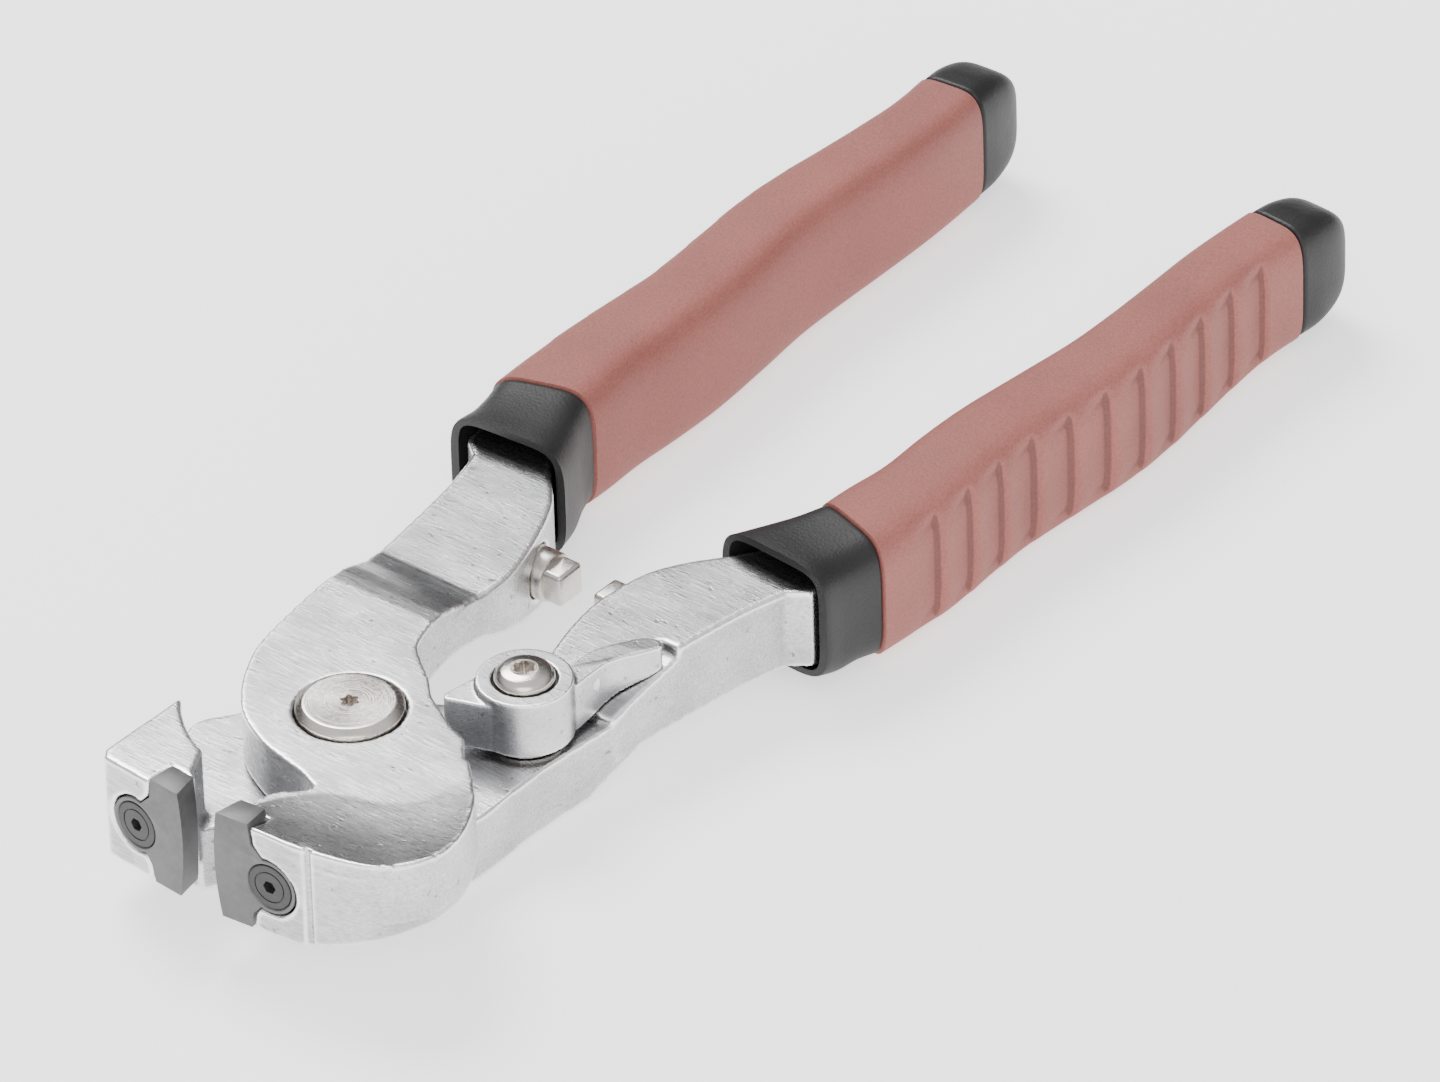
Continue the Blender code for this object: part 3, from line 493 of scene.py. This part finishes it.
def latch_screw():
    top, under, head = LATCH_TOP + 1.9, LATCH_TOP - 1.1, LATCH_SCREW_HEAD
    dome = [(0.0, top), (2.1, top), (2.3, top), (2.7, top - 0.1)]
    dome += [(2.7 + (head - 2.7) * sin(radians(a)), top - 0.1 - 1.7 * (1 - cos(radians(a))))
             for a in (18, 34, 50, 66, 82, 90)]
    profile = dome + [(head, under), (LATCH_SCREW_SHANK, under), (LATCH_SCREW_SHANK, 4.8), (0.0, 4.8)]
    screw = turned("latch_screw_turned", profile, (LATCH_X, LATCH_Y), 128)
    combine(screw, lobed("socket", 1.45, 1.8, top - 1.9, top + 2.0, (LATCH_X, LATCH_Y), 0.2))
    return screw


# ---- the stop pegs --------------------------------------------------------------------------------
def along_x(obj, side):
    turn = Matrix.Rotation(radians(90.0) * side, 4, "Y")
    obj.data.transform(Matrix.Translation(Vector((0.0, PEG_Y, GRIP_AXIS_Z)) * MM) @ turn)
    return obj


def stop_peg(name, side, boss, end):
    profile = [(0.0, boss), (PEG_RADIUS - 0.6, boss), (PEG_RADIUS - 0.15, boss + 0.2),
               (PEG_RADIUS, boss + 0.6), (PEG_RADIUS, 11.6), (2.2, 11.6), (2.2, 16.4), (0.0, 16.4)]
    peg = turned(name, profile[::-1])
    half = PEG_SQUARE / 2
    square = [(half, half), (-half, half), (-half, -half), (half, -half)]
    nose = bevelled(prism("nose", square, end, boss + 1.0), 0.7, 4)
    combine(peg, nose, "UNION")
    return along_x(peg, side)


def peg_seat(arm, side):
    seat = [(0.0, 2.0), (PEG_RADIUS + 0.3, 2.0), (PEG_RADIUS + 0.3, 11.9), (2.5, 11.9), (2.5, 16.9),
            (0.0, 16.9)]
    combine(arm, along_x(turned("peg_seat", seat[::-1]), side))


# ---- the grips ------------------------------------------------------------------------------------
# Stations along a grip: centre x and y, tilt in degrees, half width, half height, and how
# far the middle lies above the grip axis.
COLLAR_STATIONS = [(26.6, 69.4, 4.0, 11.0, 10.5, 1.2), (27.0, 70.6, 5.0, 10.8, 10.6, 1.0),
                   (28.0, 74.6, 10.0, 9.9, 10.9, 0.3), (29.4, 78.8, 14.0, 9.1, 10.8, 0.3),
                   (30.8, 83.0, 17.0, 8.7, 11.1, 0.2)]
SLEEVE_STATIONS = [(30.9, 83.3, 17.0, 9.0, 11.4, 0.1), (31.2, 90.0, 8.0, 8.7, 11.6, -0.1),
                   (31.7, 99.0, 1.0, 8.3, 11.8, -0.4), (31.3, 109.0, -1.0, 8.1, 11.9, -0.4),
                   (31.2, 119.0, 2.0, 7.9, 11.8, -0.5), (32.2, 131.0, 5.0, 7.9, 11.6, -0.6),
                   (33.3, 143.0, 3.0, 7.6, 11.7, -0.6), (33.3, 153.0, -2.0, 7.3, 11.7, -0.6),
                   (32.7, 164.0, -3.0, 7.0, 11.4, -0.5), (32.2, 174.0, 0.0, 6.8, 11.1, -0.3),
                   (32.2, 182.0, 3.0, 6.6, 10.9, -0.2), (32.7, 189.0, 5.0, 6.7, 10.8, -0.1)]
CAP_STATIONS = [(32.75, 189.5, 5.0, 6.5, 10.6, -0.1), (33.1, 194.0, 4.0, 6.6, 10.3, -0.2),
                (33.3, 198.4, 3.0, 6.1, 9.0, -0.2), (33.4, 201.2, 3.0, 4.9, 7.0, -0.2),
                (33.4, 202.6, 3.0, 3.0, 4.6, -0.2)]
SECTION_POINTS = 120
GRIP_POWER = 4.2
SCALLOPS, FIRST_SCALLOP, LAST_SCALLOP = 11, 87.0, 180.5
SCALLOP_DEPTH = 1.15


def smoothstep(t):
    t = min(max(t, 0.0), 1.0)
    return t * t * (3 - 2 * t)


def section(station, side, shrink=0.0, power=GRIP_POWER, scallop=False):
    """One superelliptic section across a grip, with the finger scallops on its outer side."""
    cx, cy, tilt, wide, high, lift = station
    wide, high = wide - shrink, high - 0.8 * shrink
    ring = []
    for i in range(SECTION_POINTS):
        a = 2 * pi * i / SECTION_POINTS
        across = 0.998 * wide * abs(cos(a)) ** (2 / power) * (1 if cos(a) >= 0 else -1)
        up = high * abs(sin(a)) ** (2 / power) * (1 if sin(a) >= 0 else -1)
        if scallop:
            across -= scallop_depth(cy - across * sin(radians(tilt)), across / wide, up / high)
        x = cx + across * cos(radians(tilt))
        y = cy - across * sin(radians(tilt))
        ring.append((side * x, y, max(0.01, GRIP_AXIS_Z + lift + up)))
    return ring


def scallop_depth(y, out, up):
    """How far a point of the sleeve is pressed in: each scallop deepens slowly, then steps out."""
    pitch = (LAST_SCALLOP - FIRST_SCALLOP) / SCALLOPS
    phase = (y - FIRST_SCALLOP) / pitch
    if phase < 0 or phase > SCALLOPS or out < 0.3:
        return 0.0
    t = phase % 1.0
    shape = smoothstep(t / 0.86) if t < 0.86 else 1.0 - smoothstep((t - 0.86) / 0.14)
    fade = smoothstep((0.95 - abs(up)) / 0.3) * smoothstep((out - 0.3) / 0.5)
    return SCALLOP_DEPTH * shape * fade


def collar(name, side):
    stations = along(COLLAR_STATIONS, 8)
    mouth, last = stations[0], stations[-1]
    outer = [section(mouth, side, 0.5)]
    outer += [section(s, side) for s in stations[1:-1]]
    outer += [section(last, side, 0.15), section((last[0] + 0.02, last[1] + 0.2, *last[2:]), side, 0.5)]
    root, neck = (30.85, 83.1, 17.0), (31.2, 90.0, 8.0)
    outer += [section((*s, 6.4, 9.4, 0.0), side) for s in (root, neck)]
    inner = [section(s, side, 1.6, 6.0) for s in stations[:-8]]
    inner += [section((30.3, 81.2, 16.0, 6.0, 9.0, 0.0), side)]
    inner += [section((*s, 5.0, 7.8, 0.0), side) for s in ((30.8, 82.9, 17.0), neck)]
    return ring_loft(name, outer + inner[::-1])


def sleeve(name, side):
    stations = along(SLEEVE_STATIONS, 22)
    first, last = stations[0], stations[-1]
    outer = [section(first, side, 0.55)]
    outer += [section((first[0], first[1] + 0.12, *first[2:]), side, 0.18)]
    outer += [section(s, side, 0.0, GRIP_POWER, True) for s in stations[1:-1]]
    outer += [section((last[0], last[1] - 0.1, *last[2:]), side, 0.18), section(last, side, 0.55)]
    hollow = [(*s[:3], 6.8, 9.8, s[5]) for s in SLEEVE_STATIONS[:2]]
    hollow += [(*s[:3], 5.2, 8.4, s[5]) for s in SLEEVE_STATIONS[2:]]
    inner = [section(s, side) for s in hollow]
    return ring_loft(name, outer + inner[::-1], 60.0)


def end_cap(name, side):
    plug = [section((32.2, 176.0, 1.0, 4.5, 7.6, 0.0), side),
            section((32.7, 189.2, 5.0, 4.7, 7.8, 0.0), side)]
    stations = along(CAP_STATIONS, 8)
    rings = plug + [section(stations[0], side, 0.45)] + [section(s, side) for s in stations[1:]]
    tip = stations[-1]
    rings += [section((tip[0], tip[1] + 0.03, *tip[2:]), side, 1.0)]
    return loft(name, rings, 60.0)


def tang(arm, side):
    """The arm's narrow end, which runs through the grip."""
    centre = [(30.0, 73.0), (31.0, 88.0), (31.7, 99.0), (31.3, 109.0), (31.2, 119.0), (32.2, 131.0),
              (33.3, 143.0), (33.3, 153.0), (32.7, 164.0), (32.2, 172.0)]
    plan = [(side * (x + 2.7), y) for x, y in centre]
    plan += [(side * (x - 2.7), y) for x, y in centre[::-1]]
    combine(arm, prism("tang", plan, GRIP_AXIS_Z - 3.8, GRIP_AXIS_Z + 3.8), "UNION")


# ---- materials ------------------------------------------------------------------------------------
def wire(tree, source, target):
    tree.links.new(source, target)


def node(tree, kind, **values):
    made = tree.nodes.new(kind)
    for key, value in values.items():
        setattr(made, key, value)
    return made


def new_material(name):
    mat = bpy.data.materials.new(name)
    mat.use_nodes = True
    tree = mat.node_tree
    return mat, tree, tree.nodes["Principled BSDF"]


def noise(tree, scale, detail=4.0, roughness=0.55, stretch=(1.0, 1.0, 1.0), turn=0.0):
    """Noise in object space. scale is in features per metre."""
    place = node(tree, "ShaderNodeTexCoord")
    shape = node(tree, "ShaderNodeMapping")
    shape.inputs["Scale"].default_value = stretch
    shape.inputs["Rotation"].default_value = (0.0, 0.0, turn)
    wire(tree, place.outputs["Object"], shape.inputs["Vector"])
    tex = node(tree, "ShaderNodeTexNoise")
    tex.inputs["Scale"].default_value = scale
    tex.inputs["Detail"].default_value = detail
    tex.inputs["Roughness"].default_value = roughness
    wire(tree, shape.outputs["Vector"], tex.inputs["Vector"])
    return tex.outputs["Fac"]


def ramp(tree, source, stops):
    """A colour ramp. stops are (position, grey or colour)."""
    made = node(tree, "ShaderNodeValToRGB")
    elements = made.color_ramp.elements
    while len(elements) < len(stops):
        elements.new(0.5)
    for element, (position, colour) in zip(elements, stops):
        element.position = position
        element.color = (*colour, 1.0) if isinstance(colour, tuple) else (colour, colour, colour, 1.0)
    wire(tree, source, made.inputs["Fac"])
    return made.outputs["Color"]


def mix(tree, a, b, factor, kind="MIX"):
    made = node(tree, "ShaderNodeMix", data_type="RGBA", blend_type=kind)
    for value, slot in ((factor, 0), (a, 6), (b, 7)):
        if isinstance(value, bpy.types.NodeSocket):
            wire(tree, value, made.inputs[slot])
        elif slot == 0:
            made.inputs[0].default_value = value
        else:
            made.inputs[slot].default_value = (*value, 1.0)
    return made.outputs[2]


def bump(tree, shader, height, strength, distance, before=None):
    made = node(tree, "ShaderNodeBump")
    made.inputs["Strength"].default_value = strength
    made.inputs["Distance"].default_value = distance
    wire(tree, height, made.inputs["Height"])
    if before is not None:
        wire(tree, before, made.inputs["Normal"])
    wire(tree, made.outputs["Normal"], shader.inputs["Normal"])
    return made.outputs["Normal"]


def edge_mask(tree, low, high):
    """Where the surface is convex, for worn bright edges."""
    geometry = node(tree, "ShaderNodeNewGeometry")
    return ramp(tree, geometry.outputs["Pointiness"], [(low, 0.0), (high, 1.0)])


def aluminium(name, brush=0.6):
    """Ground cast aluminium: broad brushed streaks, fine grain, small pits and bright worn edges."""
    mat, tree, shader = new_material(name)
    shader.inputs["Metallic"].default_value = 1.0
    patches = noise(tree, 90.0, 6.0, 0.6)
    grain = noise(tree, 2600.0, 3.0, 0.7)
    lines = noise(tree, 240.0, 5.0, 0.7, (1.0, 10.0, 10.0), 0.55)
    cross = noise(tree, 170.0, 4.0, 0.7, (9.0, 1.0, 9.0), 0.2)
    base = ramp(tree, patches, [(0.3, (0.50, 0.50, 0.515)), (0.7, (0.70, 0.70, 0.715))])
    base = mix(tree, base, ramp(tree, lines, [(0.36, 0.55), (0.62, 1.0)]), brush, "MULTIPLY")
    base = mix(tree, base, ramp(tree, cross, [(0.34, 0.78), (0.6, 1.0)]), brush * 0.7, "MULTIPLY")
    specks = ramp(tree, noise(tree, 700.0, 2.0, 0.5), [(0.26, 0.3), (0.33, 1.0)])
    base = mix(tree, base, specks, 0.7, "MULTIPLY")
    worn = mix(tree, (0.0, 0.0, 0.0), edge_mask(tree, 0.503, 0.522), 0.85)
    base = mix(tree, base, (0.97, 0.97, 0.96), worn)
    wire(tree, base, shader.inputs["Base Color"])
    wire(tree, ramp(tree, lines, [(0.3, 0.36), (0.7, 0.22)]), shader.inputs["Roughness"])
    first = bump(tree, shader, grain, 0.3, 0.00007)
    second = bump(tree, shader, lines, 0.5 * brush, 0.00014, first)
    third = bump(tree, shader, specks, 0.4, 0.00012, second)
    bump(tree, shader, noise(tree, 120.0, 3.0, 0.5), 0.25, 0.0005, third)
    return mat


def steel(name, colour, roughness):
    """Turned steel: fine rings about the piece's own vertical axis."""
    mat, tree, shader = new_material(name)
    shader.inputs["Metallic"].default_value = 1.0
    shader.inputs["Anisotropic"].default_value = 0.5
    fine = noise(tree, 1800.0, 2.0, 0.6)
    tone = ramp(tree, noise(tree, 240.0, 4.0), [(0.3, tuple(c * 0.85 for c in colour)), (0.7, colour)])
    wire(tree, tone, shader.inputs["Base Color"])
    wire(tree, ramp(tree, fine, [(0.3, roughness * 0.8), (0.7, roughness * 1.25)]),
         shader.inputs["Roughness"])
    bump(tree, shader, fine, 0.12, 0.00004)
    return mat


def ringed_steel(name, colour, roughness, centre):
    """Turned steel with tool rings about a vertical axis at centre."""
    mat = steel(name, colour, roughness)
    tree = mat.node_tree
    shader = tree.nodes["Principled BSDF"]
    place = node(tree, "ShaderNodeTexCoord")
    shift = node(tree, "ShaderNodeMapping")
    shift.inputs["Location"].default_value = (-centre[0] * MM, -centre[1] * MM, 0.0)
    shift.inputs["Scale"].default_value = (1.0, 1.0, 0.0)
    wire(tree, place.outputs["Object"], shift.inputs["Vector"])
    distance = node(tree, "ShaderNodeVectorMath", operation="LENGTH")
    wire(tree, shift.outputs["Vector"], distance.inputs[0])
    rings = node(tree, "ShaderNodeTexNoise", noise_dimensions="1D")
    rings.inputs["Scale"].default_value = 4200.0
    rings.inputs["Detail"].default_value = 3.0
    wire(tree, distance.outputs["Value"], rings.inputs["W"])
    bump(tree, shader, rings.outputs["Fac"], 0.25, 0.00005)
    return mat


def carbide(name, dark, light):
    mat, tree, shader = new_material(name)
    shader.inputs["Metallic"].default_value = 0.75
    mottle = noise(tree, 420.0, 6.0, 0.7)
    wire(tree, ramp(tree, mottle, [(0.3, dark), (0.7, light)]), shader.inputs["Base Color"])
    wire(tree, ramp(tree, mottle, [(0.3, 0.42), (0.7, 0.6)]), shader.inputs["Roughness"])
    bump(tree, shader, noise(tree, 3000.0, 3.0, 0.7), 0.3, 0.00005)
    return mat


def moulded(name, dark, light, roughness, grain_depth, grain_scale=1900.0):
    """Moulded plastic or soft rubber with a fine pebbled texture, and painted shade in its hollows."""
    mat, tree, shader = new_material(name)
    cells = node(tree, "ShaderNodeTexVoronoi")
    cells.inputs["Scale"].default_value = grain_scale
    place = node(tree, "ShaderNodeTexCoord")
    wire(tree, place.outputs["Object"], cells.inputs["Vector"])
    tone = noise(tree, 70.0, 5.0, 0.6)
    base = ramp(tree, tone, [(0.3, dark), (0.7, light)])
    speck = ramp(tree, noise(tree, 2400.0, 2.0, 0.6), [(0.35, 0.72), (0.62, 1.0)])
    base = mix(tree, base, speck, 0.7, "MULTIPLY")
    # Painted shade: the base colour is darkened where the surface is concave, in the finger scallops
    # and other hollows.
    painted_hollow_shade = ramp(tree, node(tree, "ShaderNodeNewGeometry").outputs["Pointiness"],
                   [(0.485, 0.45), (0.499, 1.0)])
    base = mix(tree, base, painted_hollow_shade, 0.8, "MULTIPLY")
    wire(tree, base, shader.inputs["Base Color"])
    wire(tree, ramp(tree, tone, [(0.3, roughness - 0.05), (0.7, roughness + 0.07)]),
         shader.inputs["Roughness"])
    shader.inputs["Specular IOR Level"].default_value = 0.4
    first = bump(tree, shader, cells.outputs["Distance"], 0.35, grain_depth)
    bump(tree, shader, noise(tree, 900.0, 4.0, 0.7), 0.25, grain_depth * 1.5, first)
    return mat


def dress(obj, mat):
    obj.data.materials.clear()
    obj.data.materials.append(mat)
    return obj


# ---- building the visible pieces ------------------------------------------------------------------
def show(obj, body, cad_node, mat):
    dress(obj, mat)
    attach(obj, body)
    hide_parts(cad_node)


def build_tool():
    cast_metal = aluminium("cast_aluminium")
    lever_metal = aluminium("cast_lever", 0.3)
    red = moulded("red_grip", (0.30, 0.098, 0.082), (0.355, 0.122, 0.102), 0.62, 0.00012)
    black = moulded("black_plastic", (0.008, 0.008, 0.0085), (0.015, 0.015, 0.0155), 0.5, 0.00008)
    blade_mat = carbide("carbide", (0.11, 0.108, 0.108), (0.18, 0.176, 0.176))
    screw_mat = carbide("dark_steel", (0.05, 0.049, 0.049), (0.085, 0.083, 0.083))
    plain = steel("turned_steel", (0.62, 0.59, 0.55), 0.3)
    bolt_steel = ringed_steel("bolt_steel", (0.66, 0.62, 0.58), 0.24, (0.0, 0.0))
    latch_steel = ringed_steel("latch_steel", (0.64, 0.60, 0.56), 0.22, (LATCH_X, LATCH_Y))
    arms = (("left_handle", left_arm(), 1, -1, "left_arm"),
            ("right_handle", right_arm(), -1, 1, "right_arm"))
    for body, arm, jaw_side, arm_side, label in arms:
        tang(arm, arm_side)
        blade_pocket(arm, jaw_side)
        peg_seat(arm, arm_side)
        cast(arm, *ARM_CASTING)
        show(arm, body, label, cast_metal)
    for side, label, body in ((-1, "left", "right_handle"), (1, "right", "left_handle")):
        show(blade(label + "_blade_ground", side), body, label + "_blade", blade_mat)
        show(blade_screw(label + "_blade_screw_head", side), body, label + "_blade_screw",
             screw_mat)
    show(pivot_bolt(), "right_handle", "pivot_bolt", bolt_steel)
    show(cast(latch_lever(), *LEVER_CASTING), "latch", "latch_lever", lever_metal)
    show(latch_screw(), "right_handle", "latch_screw", latch_steel)
    pegs = (("left", -1, LEFT_PEG_BOSS, LEFT_PEG_END), ("right", 1, RIGHT_PEG_BOSS, RIGHT_PEG_END))
    for label, side, boss, end in pegs:
        show(stop_peg(label + "_peg", side, boss, end), label + "_handle", label + "_stop_peg",
             plain)
    for side, label in ((-1, "left"), (1, "right")):
        body = label + "_handle"
        show(collar(label + "_collar", side), body, label + "_grip_collar", black)
        show(sleeve(label + "_sleeve", side), body, label + "_grip_sleeve", red)
        show(end_cap(label + "_cap", side), body, label + "_end_cap", black)
    dress(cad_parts["left_grip_core"], black)
    dress(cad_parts["right_grip_core"], black)
    for name in ("pivot_nut", "torsion_spring", "latch_washer"):
        dress(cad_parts[name], plain)
    bronze = steel("bronze", (0.55, 0.36, 0.16), 0.35)
    for name in ("pivot_bushing", "latch_sleeve"):
        dress(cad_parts[name], bronze)


# ---- floor, light and camera ------------------------------------------------------------------------
# Places and sizes in metres, powers in watts.
KEY_PLACE, KEY_SIZE, KEY_POWER = (-0.9, 0.5, 1.3), 0.9, 29.0
FILL_PLACE, FILL_SIZE, FILL_POWER = (0.9, -1.1, 0.9), 1.4, 13.0
FLOOR_GLOW, WORLD_STRENGTH = 1.1, 1.15


def add_floor():
    half = 3000.0
    corners = [(-half, -half, 0.0), (half, -half, 0.0), (half, half, 0.0), (-half, half, 0.0)]
    floor = make("floor", corners, [(0, 1, 2, 3)])
    mat, tree, shader = new_material("pale_floor")
    tone = ramp(tree, noise(tree, 6.0), [(0.3, (0.94, 0.94, 0.94)), (0.7, (0.96, 0.96, 0.96))])
    wire(tree, tone, shader.inputs["Base Color"])
    shader.inputs["Roughness"].default_value = 0.8
    shader.inputs["Emission Color"].default_value = (1.0, 1.0, 1.0, 1.0)
    shader.inputs["Emission Strength"].default_value = FLOOR_GLOW
    dress(floor, mat)


def add_area(name, place, target, size, power):
    data = bpy.data.lights.new(name, "AREA")
    data.shape = "DISK"
    data.size = size
    data.energy = power
    light = bpy.data.objects.new(name, data)
    light.location = place
    light.rotation_euler = (Vector(place) - Vector(target)).to_track_quat("Z", "Y").to_euler()
    bpy.context.scene.collection.objects.link(light)


def add_world():
    """White studio surroundings that darken towards the horizon behind the tool."""
    world = bpy.data.worlds.new("studio")
    bpy.context.scene.world = world
    world.use_nodes = True
    tree = world.node_tree
    place = node(tree, "ShaderNodeTexCoord")
    aim = node(tree, "ShaderNodeVectorMath", operation="DOT_PRODUCT")
    aim.inputs[1].default_value = (0.35, -0.42, 0.84)
    wire(tree, place.outputs["Generated"], aim.inputs[0])
    tone = ramp(tree, aim.outputs["Value"], [(0.0, 0.10), (0.3, 0.50), (0.45, 0.85), (0.7, 1.0)])
    background = tree.nodes["Background"]
    wire(tree, tone, background.inputs["Color"])
    background.inputs["Strength"].default_value = WORLD_STRENGTH


def add_camera():
    az, el, roll = radians(VIEW_AZIMUTH), radians(VIEW_ELEVATION), radians(VIEW_ROLL)
    back = Vector((sin(az) * cos(el), -cos(az) * cos(el), sin(el)))
    right = Vector((cos(az), sin(az), 0.0))
    up = back.cross(right)
    right, up = cos(roll) * right - sin(roll) * up, sin(roll) * right + cos(roll) * up
    data = bpy.data.cameras.new("camera")
    data.lens = LENS
    data.sensor_width = SENSOR
    data.clip_end = 50.0
    camera = bpy.data.objects.new("camera", data)
    place = (Vector(VIEW_TARGET) + back * VIEW_DISTANCE) * MM
    turn = Matrix((right, up, back)).transposed().to_4x4()
    camera.matrix_world = Matrix.Translation(place) @ turn
    bpy.context.scene.collection.objects.link(camera)
    bpy.context.scene.camera = camera


build_tool()
add_floor()
add_world()
add_area("key", KEY_PLACE, (0.0, 0.06, 0.0), KEY_SIZE, KEY_POWER)
add_area("fill", FILL_PLACE, (0.0, 0.05, 0.0), FILL_SIZE, FILL_POWER)
add_camera()
